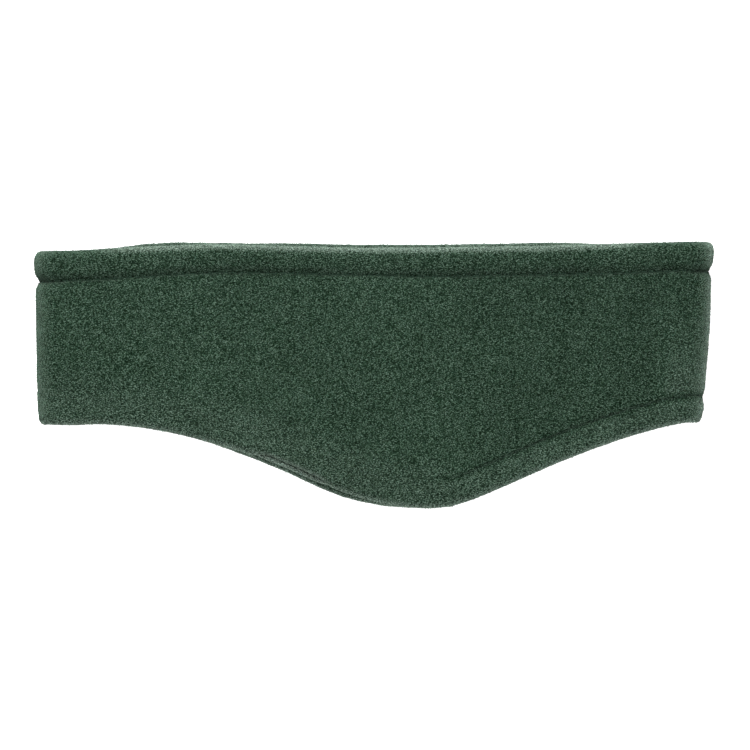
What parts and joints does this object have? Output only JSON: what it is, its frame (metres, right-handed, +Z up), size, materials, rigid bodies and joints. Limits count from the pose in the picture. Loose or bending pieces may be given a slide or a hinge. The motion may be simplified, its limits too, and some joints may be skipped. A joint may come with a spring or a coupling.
{
  "type": "ear warmer headband",
  "caption": "Thick fleece ear warmer headband lying flat, wider over the ears, with topstitched hems and an open loop for the head.",
  "frame": {"origin": "middle of the underside of the flat-laid band, on the surface that it lies on", "axes": "+X along the flat band towards the fold at the back of the head, +Y towards its upper edge, +Z up from the surface"},
  "size_m": [0.2552, 0.0994, 0.0177],
  "materials": {
    "fleece": "dark green brushed fleece with a short pebbled nap",
    "thread": "dark green sewing thread"
  },
  "bodies": {
    "root": {"band": "fleece", "top_hem": "fleece", "bottom_hem": "fleece"}
  },
  "joints": []
}
